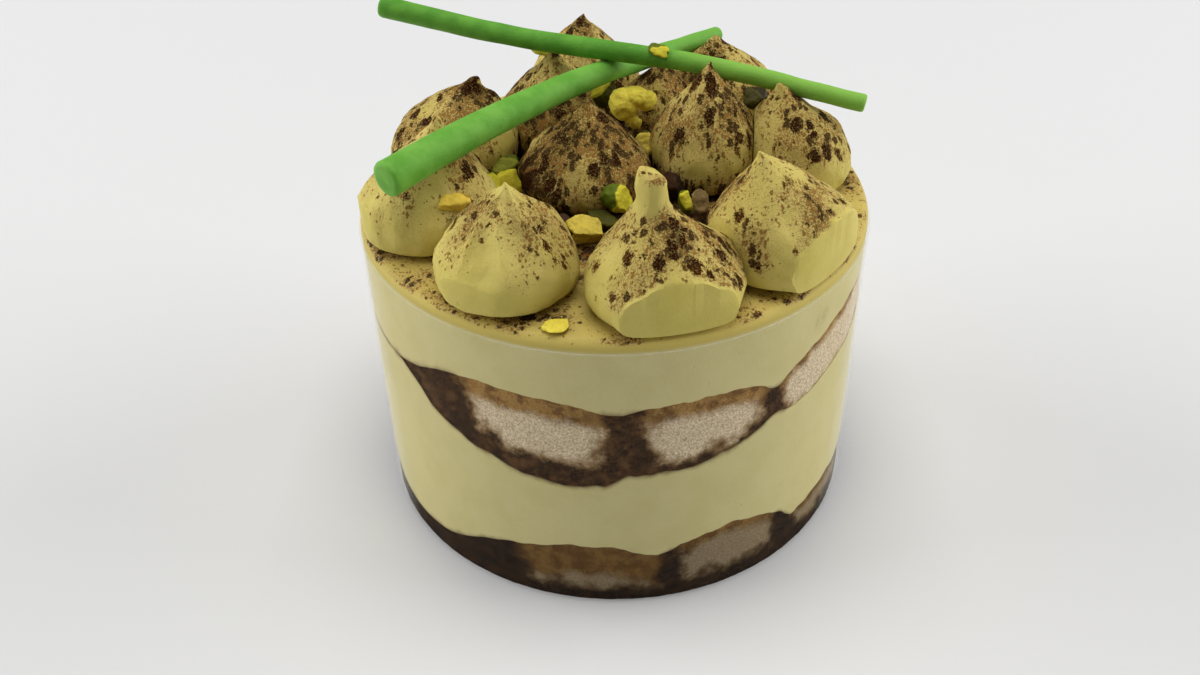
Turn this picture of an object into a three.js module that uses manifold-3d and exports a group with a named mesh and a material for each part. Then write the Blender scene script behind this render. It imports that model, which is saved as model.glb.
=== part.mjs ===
// A small round pistachio tiramisu, in millimetres, +Z up, standing on Z = 0.
// Soaked sponge fingers and pistachio cream lie in layers inside a clear film collar.
// Piped cream kisses, chopped pistachios and two green sugar sticks sit on top.
import * as THREE from "three";
import { mergeVertices } from "three/addons/utils/BufferGeometryUtils.js";
import Module from "manifold-3d";

const wasm = await Module();
wasm.setup();

// Driving dimensions of the cake.
const cakeRadius = 45;
const creamTop = 58;
const shoulder = 1.6;
const wallSides = 96;
const gap = 0.3;

// The film strip that wraps the cake and laps over its own end. It stops just short of the table.
const film = { inner: 45.2, thick: 0.3, low: 0.6, high: 56, lap: 16, lapAzimuth: 150, lapStep: 0.6 };

// Both sponge layers are rows of fingers that run right through the cake, each layer its own way.
// A finger's section is an oval about its waist. It is as wide as half, as high as rise and as deep as
// drop, and it is cut off flat at left and right, where it presses on the next finger or the wall.
const baseTurn = 35;
const middleTurn = 17;
const sectionSteps = 28;
const fingers = [
  {
    name: "sponge_base_left", turn: baseTurn, across: -30, half: 14.8, left: -46, right: -18.4,
    waist: 3, rise: 10.6, drop: 5, square: 1.9,
  },
  {
    name: "sponge_base_middle", turn: baseTurn, across: -8, half: 16.5, left: -18.4, right: 6.7,
    waist: 3, rise: 11.4, drop: 5, square: 2.1,
  },
  {
    name: "sponge_base_right", turn: baseTurn, across: 20, half: 16, left: 6.7, right: 32,
    waist: 3, rise: 6.2, drop: 5, square: 2.4,
  },
  {
    name: "sponge_base_end", turn: baseTurn, across: 40, half: 12, left: 32, right: 46,
    waist: 3, rise: 6.6, drop: 5, square: 2.2,
  },
  {
    name: "sponge_middle_left", turn: middleTurn, across: -23, half: 18.5, left: -46, right: -13.4,
    waist: 38.34, rise: 7.4, drop: 10.2, square: 2, tilt: -0.14,
  },
  {
    name: "sponge_middle_front", turn: middleTurn, across: -2, half: 16.8, left: -13.4, right: 14.6,
    waist: 38, rise: 7, drop: 7.2, square: 2.4, tilt: 0.05, belly: -0.22,
  },
  {
    name: "sponge_middle_right", turn: middleTurn, across: 29, half: 16, left: 14.6, right: 46,
    waist: 43.2, rise: 5.3, drop: 5.3, square: 2.6, tilt: 0.29,
  },
];

// Where the two layers of cream meet, across the middle fingers from left to right.
const creamSeam = [[-60, 41.5], [-26, 38.8], [-2, 38], [14.6, 39.3], [29, 43.2], [60, 51]];

// Each kiss: where it stands, its radius and height, how far its tip leans, how high its cone
// would reach without the drawn-out tip, and how thick that tip is. Hollow draws the upper flank in,
// or rounds it out where it is negative. Above upright the kiss leans no further, and the greater the
// curl, the later it starts to lean.
const kisses = [
  {
    name: "kiss_front_left", at: [-17.3, -28.8], radius: 11.9, height: 18.4,
    lean: [0.6, 0], cone: 18.2, tip: 0.4,
  },
  {
    name: "kiss_front", at: [7.6, -34], radius: 13, height: 22.8,
    lean: [-2.1, 0], cone: 19.6, tip: 2.35, hollow: 0.15, upright: 0.75, curl: 3,
  },
  {
    name: "kiss_front_right", at: [28, -22.6], radius: 13, height: 19.8,
    lean: [-5.4, 0], cone: 19.6, tip: 0.5,
  },
  {
    name: "kiss_right", at: [32.6, 3.4], radius: 10.2, height: 18.6,
    lean: [-4, -0.4], cone: 18.3, tip: 0.6, hollow: -0.14,
  },
  {
    name: "kiss_back_right", at: [20.8, 28.5], radius: 11.4, height: 16.4,
    lean: [-0.6, 0], cone: 16.2, tip: 0.5, hollow: -0.14,
  },
  {
    name: "kiss_back", at: [-5.5, 34.5], radius: 10.9, height: 18.5,
    lean: [0, 0], cone: 18.3, tip: 0.4, hollow: -0.1,
  },
  {
    name: "kiss_back_left", at: [-29, 11], radius: 12.2, height: 17,
    lean: [4.5, 0], cone: 16.4, tip: 1.1, hollow: -0.15,
  },
  {
    name: "kiss_left", at: [-31.8, -11.5], radius: 12.4, height: 20.5,
    lean: [3.6, 0], cone: 20.2, tip: 0.5, hollow: 0.06,
  },
  {
    name: "kiss_inner_front", at: [-4.8, 0], radius: 11.9, height: 17.5,
    lean: [0.6, 0], cone: 17, tip: 0.8,
  },
  {
    name: "kiss_inner_right", at: [16.6, 4.6], radius: 10.4, height: 22.1,
    lean: [-0.2, -0.8], cone: 21.9, tip: 0.4,
  },
  {
    name: "kiss_inner_back", at: [8.5, 19.3], radius: 9.6, height: 16,
    lean: [1, 0], cone: 15.8, tip: 0.5,
  },
  {
    name: "kiss_inner_left", at: [-11.5, 18.5], radius: 10.2, height: 18.6,
    lean: [1.4, 0], cone: 18.2, tip: 0.6, hollow: -0.14,
  },
];

// Share of the cone's height and of the radius, from the foot of a kiss to below its tip.
const kissProfile = [
  [0, 0.84], [0.08, 0.95], [0.2, 1], [0.33, 0.955], [0.46, 0.84],
  [0.6, 0.65], [0.73, 0.45], [0.85, 0.25], [0.93, 0.12],
];
const hollowFrom = 0.22;
const hollowFull = 0.64;
const kissSides = 18;
const kissFolds = 5;

// The two sticks: points on the centre line, with the radius at each end.
const sticks = [
  {
    name: "stick_thin",
    line: [
      [-42.6, 27.4, 81.6], [-15.6, 19.2, 78.5], [0.4, 14.3, 78], [14.9, 10.1, 77.3], [43.6, 1.6, 73.3],
    ],
    radius: [1.95, 1.55],
  },
  {
    name: "stick_thick",
    line: [
      [-35.4, -24.6, 74.7], [-21.9, -9.5, 75.6], [-4.6, 10, 74.8], [6.5, 22.5, 72.8], [21, 38.6, 70.4],
    ],
    radius: [3, 1.5],
  },
];
const stickSides = 10;
const stickSteps = 8;

// Each piece of nut: centre, half sizes, tilt in degrees, and how much of it the knife left.
const nuts = [
  {
    name: "pistachio_whole", at: [3.7, 10.6, 68.7], half: [4.4, 3.1, 4],
    turn: [-20, 12, -15], kept: 0.82,
  },
  {
    name: "pistachio_under", at: [6.2, 5.6, 64], half: [2.3, 2.2, 3.1],
    turn: [15, -25, 20], kept: 0.72,
  },
  {
    name: "pistachio_behind", at: [-1.7, 17.4, 68.4], half: [4, 2.2, 2.6],
    turn: [-10, -20, 15], kept: 0.8,
  },
  {
    name: "pistachio_green", at: [1.2, -10.8, 62.4], half: [4.1, 2.6, 2.6],
    turn: [10, 14, -12], kept: 0.76,
  },
  {
    name: "pistachio_front", at: [-4, -18.5, 61.1], half: [4.4, 2.6, 3.1],
    turn: [-10, 25, 10], kept: 0.78,
  },
  {
    name: "pistachio_brown", at: [-8.6, -16.6, 61], half: [1.4, 1.4, 2.7],
    turn: [0, 10, 0], kept: 0.85,
  },
  {
    name: "pistachio_dark", at: [-1.4, -13, 59.7], half: [3.6, 1.7, 1.5],
    turn: [0, 16, -24], kept: 0.85,
  },
  {
    name: "pistachio_shell", at: [10.2, -5.4, 62], half: [2, 1.6, 3.8],
    turn: [10, -25, -20], kept: 0.8,
  },
  {
    name: "pistachio_stem", at: [12.3, -9.2, 60.8], half: [1.4, 1.4, 2.7],
    turn: [0, -12, 0], kept: 0.85,
  },
  {
    name: "pistachio_skin", at: [14.6, -10.8, 62.3], half: [1.7, 0.8, 4.2],
    turn: [-10, -8, 15], kept: 0.96,
  },
  {
    name: "pistachio_left", at: [-25.5, -20, 67.8], half: [3.3, 1.8, 1.7],
    turn: [0, 10, 12], kept: 0.76,
  },
  {
    name: "pistachio_corner", at: [-18.2, -3.9, 61.8], half: [3, 2.2, 3.3],
    turn: [0, -14, 20], kept: 0.8,
  },
  {
    name: "pistachio_leaning", at: [-21.3, -9.4, 64.4], half: [2.6, 2.2, 2.9],
    turn: [0, 25, -30], kept: 0.85,
  },
  {
    name: "pistachio_floor", at: [-19, 2.4, 61.2], half: [3.4, 2.4, 3.1],
    turn: [0, -8, 10], kept: 0.85,
  },
  {
    name: "pistachio_right", at: [27.2, 19.6, 65.8], half: [3, 2.3, 2.5],
    turn: [0, 14, -10], kept: 0.8,
  },
  { name: "pistachio_rim", at: [-8.7, -41.4, 58.7], half: [3, 1.8, 0.5], turn: [0, 0, 12], kept: 0.8 },
  {
    name: "pistachio_tucked", at: [-12.6, 20.6, 75.3], half: [2.5, 1.1, 0.8],
    turn: [0, 12, -15], kept: 0.85,
  },
  {
    name: "pistachio_on_stick", at: [8.4, 11, 79.4], half: [2.4, 1.5, 1.1],
    turn: [10, 8, -15], kept: 0.85,
  },
];
const nutSides = 10;
const nutRings = 6;

const looks = {
  cream: { color: 0xc9bb77, roughness: 0.6, metalness: 0 },
  sponge: { color: 0xa88a68, roughness: 0.85, metalness: 0 },
  stick: { color: 0x52a043, roughness: 0.55, metalness: 0 },
  nut: { color: 0xb9ab3c, roughness: 0.6, metalness: 0 },
  film: { color: 0xf2f4f2, roughness: 0.1, metalness: 0, transparent: true, opacity: 0.25 },
};

const radians = THREE.MathUtils.degToRad;

// A closed three.js geometry as a solid that can be cut and joined.
function toSolid(geometry) {
  const bare = geometry.clone();
  bare.deleteAttribute("normal");
  bare.deleteAttribute("uv");
  const merged = mergeVertices(bare, 1e-4);
  return new wasm.Manifold(
    new wasm.Mesh({
      numProp: 3,
      vertProperties: new Float32Array(merged.attributes.position.array),
      triVerts: new Uint32Array(merged.index.array),
    }),
  );
}

// The largest body of a solid, as a geometry. Crumbs that a cut leaves are dropped.
function toGeometry(solid) {
  const bodies = solid.decompose().sort((a, b) => b.volume() - a.volume());
  const mesh = bodies[0].getMesh();
  const geometry = new THREE.BufferGeometry();
  geometry.setAttribute("position", new THREE.BufferAttribute(new Float32Array(mesh.vertProperties), 3));
  geometry.setIndex(new THREE.BufferAttribute(new Uint32Array(mesh.triVerts), 1));
  geometry.computeVertexNormals();
  return geometry;
}

const without = (solid, pieces) => pieces.reduce((left, piece) => left.subtract(piece), solid);

function moveVertices(geometry, place) {
  const position = geometry.attributes.position;
  const point = new THREE.Vector3();
  for (let i = 0; i < position.count; i++) {
    point.fromBufferAttribute(position, i);
    place(point);
    position.setXYZ(i, point.x, point.y, point.z);
  }
  return geometry;
}

// A turned solid about the Z axis. The outline runs from the axis at the foot to the axis at the top.
function turned(outline, sides) {
  const points = outline.map(([r, z]) => new THREE.Vector2(r, z));
  return new THREE.LatheGeometry(points, sides).rotateX(Math.PI / 2);
}

function disc(radius, low, high) {
  return toSolid(turned([[0, low], [radius, low], [radius, high], [0, high]], wallSides));
}

// A bar through the whole cake with one section, its outline given as pairs of across and up.
function bar(outline, turn) {
  const length = 4 * cakeRadius;
  const section = new THREE.Shape(outline.map((p) => new THREE.Vector2(...p)));
  const geometry = new THREE.ExtrudeGeometry(section, { depth: length, bevelEnabled: false });
  return toSolid(geometry.translate(0, 0, -length / 2).rotateX(Math.PI / 2).rotateZ(radians(turn)));
}

// One sponge finger as a bar, grown or shrunk all round. It never reaches below its floor.
function finger(spec, grow) {
  const { across, half, left, right, waist, rise, drop, square, tilt = 0, belly = 0 } = spec;
  const floor = grow > 0 ? -1 : 0;
  const outline = [];
  for (let i = 0; i < sectionSteps; i++) {
    const angle = ((i + 0.5) / sectionSteps) * 2 * Math.PI;
    const side = Math.sign(Math.cos(angle)) * Math.abs(Math.cos(angle)) ** (2 / square);
    const up = Math.sign(Math.sin(angle)) * Math.abs(Math.sin(angle)) ** (2 / square);
    const x = THREE.MathUtils.clamp(across + side * (half + grow), left - grow, right + grow);
    const tall = up > 0 ? rise : drop * (1 + belly * side);
    outline.push([x, Math.max(waist + tilt * (x - across) + up * (tall + grow), floor)]);
  }
  return bar(outline, spec.turn);
}

// The cream fills what the fingers leave of the ring, in two layers that meet along the seam.
function creamSolids() {
  const rim = [];
  for (let i = 0; i <= 4; i++) {
    const angle = (i / 4) * (Math.PI / 2);
    const inward = shoulder * (1 - Math.cos(angle));
    const down = shoulder * (1 - Math.sin(angle));
    rim.push([cakeRadius - inward, creamTop - down]);
  }
  const ring = toSolid(turned([[0, 0], [cakeRadius, 0], ...rim, [0, creamTop]], wallSides));
  const under = (rise) => {
    const seam = creamSeam.map(([x, z]) => [x, z + rise]);
    return bar([...seam.reverse(), [-60, -2], [60, -2]], middleTurn);
  };
  const room = fingers.map((spec) => finger(spec, gap / 2));
  const lower = ring.intersect(under(-gap / 2));
  const upper = ring.subtract(under(gap / 2));
  return [without(lower, room), without(upper, room)];
}

// A piped kiss: a round foot, a bulge and a drawn-out tip that leans, with soft folds up its side.
function kiss(spec, index) {
  const { radius, height, cone, tip, lean, hollow = 0, upright = 1, curl = 2 } = spec;
  const outline = kissProfile.map(([up, share]) => {
    const drawn = 1 - hollow * THREE.MathUtils.smoothstep(up, hollowFrom, hollowFull);
    return [Math.max(share * drawn * radius, tip), (up * cone) / height];
  });
  const body = turned([[0, 0], ...outline, [tip, 0.975], [0, 1]], kissSides);
  moveVertices(body, (p) => {
    const around = Math.atan2(p.y, p.x);
    const fold = 1 + 0.025 * p.z * Math.sin(kissFolds * around + index * 1.7 + 3 * p.z);
    const oval = 1 + 0.02 * Math.cos(2 * around + index);
    const bend = Math.min(p.z / upright, 1) ** curl;
    const x = spec.at[0] + p.x * fold * oval + bend * lean[0];
    const y = spec.at[1] + p.y * fold * oval + bend * lean[1];
    p.set(x, y, creamTop + gap / 3 + p.z * height);
  });
  return toSolid(body);
}

// Everything past the upright plane on which two kisses that touch press each other flat.
function pressedBy(spec, other) {
  const [dx, dy] = [other.at[0] - spec.at[0], other.at[1] - spec.at[1]];
  const apart = Math.hypot(dx, dy);
  const share = (apart ** 2 + spec.radius ** 2 - other.radius ** 2) / (2 * apart) - gap / 2;
  const wide = 80;
  const block = new THREE.BoxGeometry(wide, wide, wide).translate(wide / 2 + share, 0, 0);
  return toSolid(block.rotateZ(Math.atan2(dy, dx)).translate(...spec.at, creamTop));
}

function kissSolids(pieces) {
  const ring = disc(cakeRadius - gap, creamTop, creamTop + 40);
  return kisses.map((spec, i) => {
    const near = kisses.filter((other) => {
      const apart = Math.hypot(other.at[0] - spec.at[0], other.at[1] - spec.at[1]);
      return other !== spec && apart < (spec.radius + other.radius) * 1.05;
    });
    const blocks = near.map((other) => pressedBy(spec, other));
    return without(kiss(spec, i).intersect(ring), [...blocks, ...pieces]);
  });
}

// A round stick bent along its line, thinner towards one end.
function stick(spec, grow) {
  const curve = new THREE.CatmullRomCurve3(spec.line.map((p) => new THREE.Vector3(...p)));
  const rod = new THREE.CylinderGeometry(1, 1, 1, stickSides, stickSteps);
  const up = new THREE.Vector3(0, 0, 1);
  moveVertices(rod, (p) => {
    const along = THREE.MathUtils.clamp(0.5 - p.y, 0, 1);
    const ahead = curve.getTangentAt(along);
    const side = new THREE.Vector3().crossVectors(up, ahead).normalize();
    const over = new THREE.Vector3().crossVectors(ahead, side);
    const radius = THREE.MathUtils.lerp(...spec.radius, along) + grow;
    const past = along < 0.01 ? -grow : along > 0.99 ? grow : 0;
    const centre = curve.getPointAt(along).addScaledVector(ahead, past);
    p.copy(centre.addScaledVector(side, p.x * radius).addScaledVector(over, p.z * radius));
  });
  return toSolid(rod);
}

// A chopped kernel: an egg-shaped nut, flat where the knife went through it.
function nut(spec, index, grow) {
  const egg = new THREE.SphereGeometry(1, nutSides, nutRings);
  moveVertices(egg, (p) => {
    p.multiplyScalar(1 + 0.07 * Math.sin(3 * p.x + 2 * index) * Math.cos(4 * p.y + index));
  });
  const cutter = (x, z, tilt) =>
    toSolid(new THREE.BoxGeometry(3, 3, 3).translate(1.5, 0, 0).rotateY(tilt).translate(x, 0, z));
  const cuts = [
    cutter(2 * spec.kept - 1, 0, radians(25 - 11 * (index % 5))),
    cutter(0.2 * spec.kept, 0.62, radians(-70 - 9 * (index % 3))),
  ];
  const turn = new THREE.Matrix4().makeRotationFromEuler(new THREE.Euler(...spec.turn.map(radians)));
  const size = new THREE.Matrix4().makeScale(...spec.half.map((half) => half + grow));
  const place = new THREE.Matrix4().makeTranslation(...spec.at).multiply(turn).multiply(size);
  return toSolid(toGeometry(without(toSolid(egg), cuts)).applyMatrix4(place));
}

// The film strip goes once round the cake and ends outside its own beginning.
function filmSolid() {
  const sweep = 360 + film.lap;
  const count = Math.round((wallSides * sweep) / 360);
  const edge = (out) =>
    Array.from({ length: count + 1 }, (_, i) => {
      const turn = (i / count) * sweep;
      const step = film.lapStep * THREE.MathUtils.smoothstep(turn, 360 - film.lap, 360);
      const angle = radians(film.lapAzimuth + turn - 90);
      return new THREE.Vector2(Math.cos(angle), Math.sin(angle)).multiplyScalar(film.inner + out + step);
    });
  const outline = new THREE.Shape([...edge(0), ...edge(film.thick).reverse()]);
  const strip = new THREE.ExtrudeGeometry(outline, { depth: film.high - film.low, bevelEnabled: false });
  return toSolid(strip.translate(0, 0, film.low));
}

const cake = new THREE.Group();

function addPiece(name, solid, look) {
  const piece = new THREE.Mesh(toGeometry(solid), new THREE.MeshStandardMaterial(looks[look]));
  piece.name = name;
  cake.add(piece);
}

// Sticks are set down last, so nuts and kisses give way to them. Kisses give way to nuts.
const stickRoom = sticks.map((spec) => stick(spec, gap));
const nutRoom = nuts.map((spec, i) => nut(spec, i, gap));
const creamRoom = disc(2 * cakeRadius, 0, creamTop + gap / 3);
const inRing = disc(cakeRadius, 0, creamTop);

fingers.forEach((spec) => addPiece(spec.name, finger(spec, -gap / 2).intersect(inRing), "sponge"));
creamSolids().forEach((solid, i) => addPiece(["cream_lower", "cream_upper"][i], solid, "cream"));
kissSolids([...stickRoom, ...nutRoom]).forEach((solid, i) => addPiece(kisses[i].name, solid, "cream"));
sticks.forEach((spec) => addPiece(spec.name, stick(spec, 0), "stick"));
nuts.forEach((spec, i) => {
  const room = [creamRoom, ...stickRoom, ...nutRoom.slice(0, i)];
  addPiece(spec.name, without(nut(spec, i, 0), room), "nut");
});
addPiece("film_collar", filmSolid(), "film");

export default cake;
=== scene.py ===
import math

import bpy
from mathutils import Matrix, Vector, noise


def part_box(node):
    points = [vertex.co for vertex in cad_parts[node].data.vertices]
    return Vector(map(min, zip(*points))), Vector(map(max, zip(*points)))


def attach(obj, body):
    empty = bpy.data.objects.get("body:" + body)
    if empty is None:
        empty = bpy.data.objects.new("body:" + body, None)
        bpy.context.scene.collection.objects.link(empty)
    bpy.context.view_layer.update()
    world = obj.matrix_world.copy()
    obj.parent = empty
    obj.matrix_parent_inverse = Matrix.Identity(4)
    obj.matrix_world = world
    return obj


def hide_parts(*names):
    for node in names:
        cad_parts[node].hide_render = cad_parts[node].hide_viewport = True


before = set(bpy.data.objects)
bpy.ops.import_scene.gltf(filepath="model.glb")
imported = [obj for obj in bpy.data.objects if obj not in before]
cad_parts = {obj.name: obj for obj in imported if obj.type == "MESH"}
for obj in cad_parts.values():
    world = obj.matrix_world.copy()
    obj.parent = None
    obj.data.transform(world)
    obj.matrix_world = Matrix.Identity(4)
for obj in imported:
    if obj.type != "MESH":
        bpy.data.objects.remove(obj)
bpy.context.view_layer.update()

mm = 0.001

# The noise would otherwise start from the clock, and the dents would differ at each run.
noise.seed_set(7)

# The cake as a whole, in millimetres. Everything below is placed from these.
cake = {
    "radius": 45.0,
    "top": 58.0,
    "skin": 0.07,  # how far the cut sponge lies behind the face of the cream
    "overlap": 0.12,  # how far the sponge runs on into the cream that holds it
}


def srgb(red, green, blue):
    def linear(value):
        value /= 255
        return value / 12.92 if value <= 0.04045 else ((value + 0.055) / 1.055) ** 2.4

    return (linear(red), linear(green), linear(blue), 1.0)


white = srgb(255, 255, 255)


def smoothStep(low, high, value):
    share = min(max((value - low) / (high - low), 0.0), 1.0)
    return share * share * (3 - 2 * share)


# Small tools for working on one mesh at a time.
def deselectAll():
    if bpy.context.mode != "OBJECT":
        bpy.ops.object.mode_set(mode="OBJECT")
    bpy.ops.object.select_all(action="DESELECT")


def makeActive(piece):
    deselectAll()
    piece.select_set(True)
    bpy.context.view_layer.objects.active = piece


def editAll(piece):
    makeActive(piece)
    bpy.ops.object.mode_set(mode="EDIT")
    bpy.ops.mesh.select_all(action="SELECT")


def leaveEditing():
    bpy.ops.object.mode_set(mode="OBJECT")


def turnOutwards(piece):
    editAll(piece)
    bpy.ops.mesh.normals_make_consistent(inside=False)
    leaveEditing()


def applyModifier(piece, kind, **settings):
    makeActive(piece)
    modifier = piece.modifiers.new(kind.lower(), kind)
    for name, value in settings.items():
        setattr(modifier, name, value)
    bpy.ops.object.modifier_apply(modifier=modifier.name)


def settleInPlace(piece):
    makeActive(piece)
    bpy.ops.object.transform_apply(location=True, rotation=True, scale=True)


def moveVertices(piece, place):
    for vertex in piece.data.vertices:
        vertex.co = place(vertex.co.copy())
    piece.data.update()


def cloudShift(point, size, depth, seed):
    # A smooth random shift of a point. Size and depth are in millimetres.
    shifted = point / (size * mm) + Vector((seed * 7.3, seed * 3.1, seed * 5.7))
    return noise.noise_vector(shifted) * depth * mm


def cutBy(piece, tool, operation="DIFFERENCE"):
    applyModifier(piece, "BOOLEAN", object=tool, operation=operation, solver="EXACT")


def sliceOff(piece, place, facing, merge=0.0):
    editAll(piece)
    bpy.ops.mesh.bisect(plane_co=place, plane_no=facing, use_fill=True, clear_outer=True, threshold=merge)
    leaveEditing()


def dropTool(tool):
    bpy.data.objects.remove(tool, do_unlink=True)


def storeShare(piece, name, measure):
    # A number at each point of the mesh, which the material reads by its name.
    layer = piece.data.attributes.new(name, "FLOAT", "POINT")
    normals = piece.data.vertex_normals
    for index, vertex in enumerate(piece.data.vertices):
        layer.data[index].value = measure(vertex.co, normals[index].vector)


def finishPiece(piece, name, nodes, material, angle=40):
    settleInPlace(piece)
    piece.name = name
    piece.data.name = name
    piece.data.materials.clear()
    piece.data.materials.append(material)
    bpy.ops.object.shade_smooth_by_angle(angle=math.radians(angle))
    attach(piece, "root")
    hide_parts(*nodes)


# Small tools for wiring materials.
class Wiring:
    def __init__(self, tree):
        self.tree = tree

    def add(self, kind, inputs=None, **settings):
        node = self.tree.nodes.new(kind)
        for name, value in settings.items():
            setattr(node, name, value)
        for name, value in (inputs or {}).items():
            self.feed(node.inputs[name], value)
        return node

    def feed(self, socket, value):
        if isinstance(value, bpy.types.NodeSocket):
            self.tree.links.new(value, socket)
        else:
            socket.default_value = value

    def calc(self, operation, first, second, clamp=False):
        inputs = {0: first, 1: second}
        return self.add("ShaderNodeMath", inputs, operation=operation, use_clamp=clamp).outputs[0]

    def plus(self, first, second, clamp=False):
        return self.calc("ADD", first, second, clamp)

    def minus(self, first, second):
        return self.calc("SUBTRACT", first, second)

    def times(self, first, second):
        return self.calc("MULTIPLY", first, second)

    def ramp(self, value, low, high, start=0.0, end=1.0):
        inputs = {"Value": value, "From Min": low, "From Max": high, "To Min": start, "To Max": end}
        return self.add("ShaderNodeMapRange", inputs, interpolation_type="SMOOTHSTEP").outputs["Result"]

    def blend(self, share, first, second):
        node = self.add("ShaderNodeMix", {"Factor": share}, data_type="RGBA")
        self.feed(node.inputs[6], first)  # the two colour sockets, behind those for other kinds
        self.feed(node.inputs[7], second)
        return node.outputs[2]

    def noise(self, place, scale, detail=2.0, rough=0.5):
        inputs = {"Vector": place, "Scale": scale, "Detail": detail, "Roughness": rough}
        return self.add("ShaderNodeTexNoise", inputs).outputs["Fac"]

    def cells(self, place, scale):
        # The distance to the middle of the nearest cell, and a random colour for each cell.
        node = self.add("ShaderNodeTexVoronoi", {"Vector": place, "Scale": scale})
        return node.outputs["Distance"], node.outputs["Color"]

    def redOf(self, colour):
        return self.add("ShaderNodeSeparateColor", {"Color": colour}).outputs[0]

    def stretch(self, place, scale):
        return self.add("ShaderNodeMapping", {"Vector": place, "Scale": scale}).outputs["Vector"]

    def part(self, axis):
        # How far along X, Y or Z this place lies, in metres.
        return self.add("ShaderNodeSeparateXYZ", {"Vector": self.here()}).outputs[axis]

    def bump(self, height, strength, distance):
        inputs = {"Height": height, "Strength": strength, "Distance": distance * mm}
        return self.add("ShaderNodeBump", inputs).outputs["Normal"]

    def here(self):
        return self.add("ShaderNodeTexCoord").outputs["Object"]

    def share(self, name):
        return self.add("ShaderNodeAttribute", attribute_name=name).outputs["Fac"]

    def group(self, tree, **inputs):
        return self.add("ShaderNodeGroup", inputs, node_tree=tree).outputs


def newMaterial(name, finish):
    # Finish is what is the same all over the surface.
    material = bpy.data.materials.new(name)
    material.use_nodes = True
    sockets = material.node_tree.nodes["Principled BSDF"].inputs
    for socket, value in finish.items():
        sockets[socket].default_value = value
    return material, Wiring(material.node_tree), sockets


def newGroup(name, inputs, outputs):
    # Each socket comes with its usual value, which also says whether it is a colour or a number.
    tree = bpy.data.node_groups.new(name, "ShaderNodeTree")
    for way, sockets in (("INPUT", inputs), ("OUTPUT", outputs)):
        for socket, value in sockets.items():
            kind = "NodeSocketColor" if value == white else "NodeSocketFloat"
            tree.interface.new_socket(socket, in_out=way, socket_type=kind).default_value = value
    wiring = Wiring(tree)
    return tree, wiring, wiring.add("NodeGroupInput").outputs, wiring.add("NodeGroupOutput").inputs


# Cocoa that was sieved from above. It lies as a veil, as single grains and as clumps,
# and on a steep flank each clump is drawn out downwards.
cocoa = {
    "dark": srgb(46, 17, 2),
    "light": srgb(118, 66, 18),
    "veil": srgb(196, 168, 100),
    # dark bed where the cocoa is thickest, in the hollows: thick cocoa and painted shade
    "bedAndShade": srgb(84, 48, 14),
    "steepness": 0.4,
    "patchScale": 120,
    "swirlScale": 1300,
    "swirlDepth": 0.0011,
    "grainScale": 3400,
    "fray": 0.7,
    # Cells to a metre, share of the density, growth of a spot with density, and cover
    "clumps": (400, 0.72, 1.3, 1.0),
    "spots": (820, 0.82, 1.2, 0.95),
    "specks": (1900, 1.0, 1.25, 0.78),
    "dustCover": 0.8,
    "veilCover": 0.65,
    "bedAndShadeCover": 0.9,
    "relief": 0.6,
}


def spotsOf(w, place, kind, density, grain):
    # Spots with frayed edges, at most one to a cell. More cells have one, and a larger one,
    # where density is high.
    scale, share, growth, cover = cocoa[kind]
    distance, luck = w.cells(place, scale)
    spare = w.minus(w.plus(w.redOf(luck), w.times(w.times(density, share), 0.95)), 1.0)
    reach = w.calc("MINIMUM", w.times(spare, growth), 0.62)
    frayed = w.times(w.minus(grain, 0.5), w.ramp(spare, 0.0, 0.15, 0.0, cocoa["fray"]))
    inside = w.ramp(w.minus(w.plus(reach, frayed), distance), -0.05, 0.2)
    return inside, w.times(inside, cover)


def makeCocoaGroup():
    tree, w, given, out = newGroup(
        "cocoaDusting", {"Color": white, "Amount": 0.5}, {"Color": white, "Cover": 0.0}
    )
    place = w.stretch(w.here(), (1, 1, cocoa["steepness"]))
    swirl = w.add("ShaderNodeTexNoise", {"Vector": w.here(), "Scale": cocoa["swirlScale"], "Detail": 3.0})
    terms = {0: swirl.outputs["Color"], 1: (cocoa["swirlDepth"],) * 3, 2: place}
    bent = w.add("ShaderNodeVectorMath", terms, operation="MULTIPLY_ADD").outputs[0]
    patch = w.ramp(w.noise(place, cocoa["patchScale"]), 0.36, 0.64)
    density = w.times(given["Amount"], w.plus(w.times(patch, 0.7), 0.5))
    grain = w.noise(w.here(), cocoa["grainScale"], 3.0, 0.65)
    clumps, clumpCover = spotsOf(w, bent, "clumps", density, grain)
    spots, spotCover = spotsOf(w, bent, "spots", density, grain)
    speckCover = spotsOf(w, bent, "specks", density, grain)[1]
    broken = w.ramp(grain, 0.32, 0.5, 0.7, 1.0)
    heavy = w.times(w.calc("MAXIMUM", clumpCover, spotCover), broken)
    heavy = w.calc("MAXIMUM", heavy, speckCover)
    dust = w.ramp(w.plus(grain, w.times(density, 0.13)), 0.56, 0.72, 0.0, cocoa["dustCover"])
    dust = w.times(dust, w.ramp(density, 0.15, 1.3, 0.15, 1.0))
    cover = w.calc("MAXIMUM", heavy, dust, clamp=True)
    tinted = w.blend(w.ramp(density, 0.1, 1.1, 0.0, cocoa["veilCover"]), given["Color"], cocoa["veil"])
    # Where the cocoa is thickest it turns to the dark bed: thick cocoa and painted shade.
    tinted = w.blend(w.ramp(density, 1.45, 2.4, 0.0, cocoa["bedAndShadeCover"]), tinted, cocoa["bedAndShade"])
    heaped = w.times(w.plus(clumps, spots), w.plus(density, 0.15))
    shade = w.blend(w.ramp(heaped, 0.1, 1.0), cocoa["light"], cocoa["dark"])
    w.feed(out["Color"], w.blend(cover, tinted, shade))
    w.feed(out["Cover"], cover)
    return tree


cocoaGroup = makeCocoaGroup()
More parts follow.
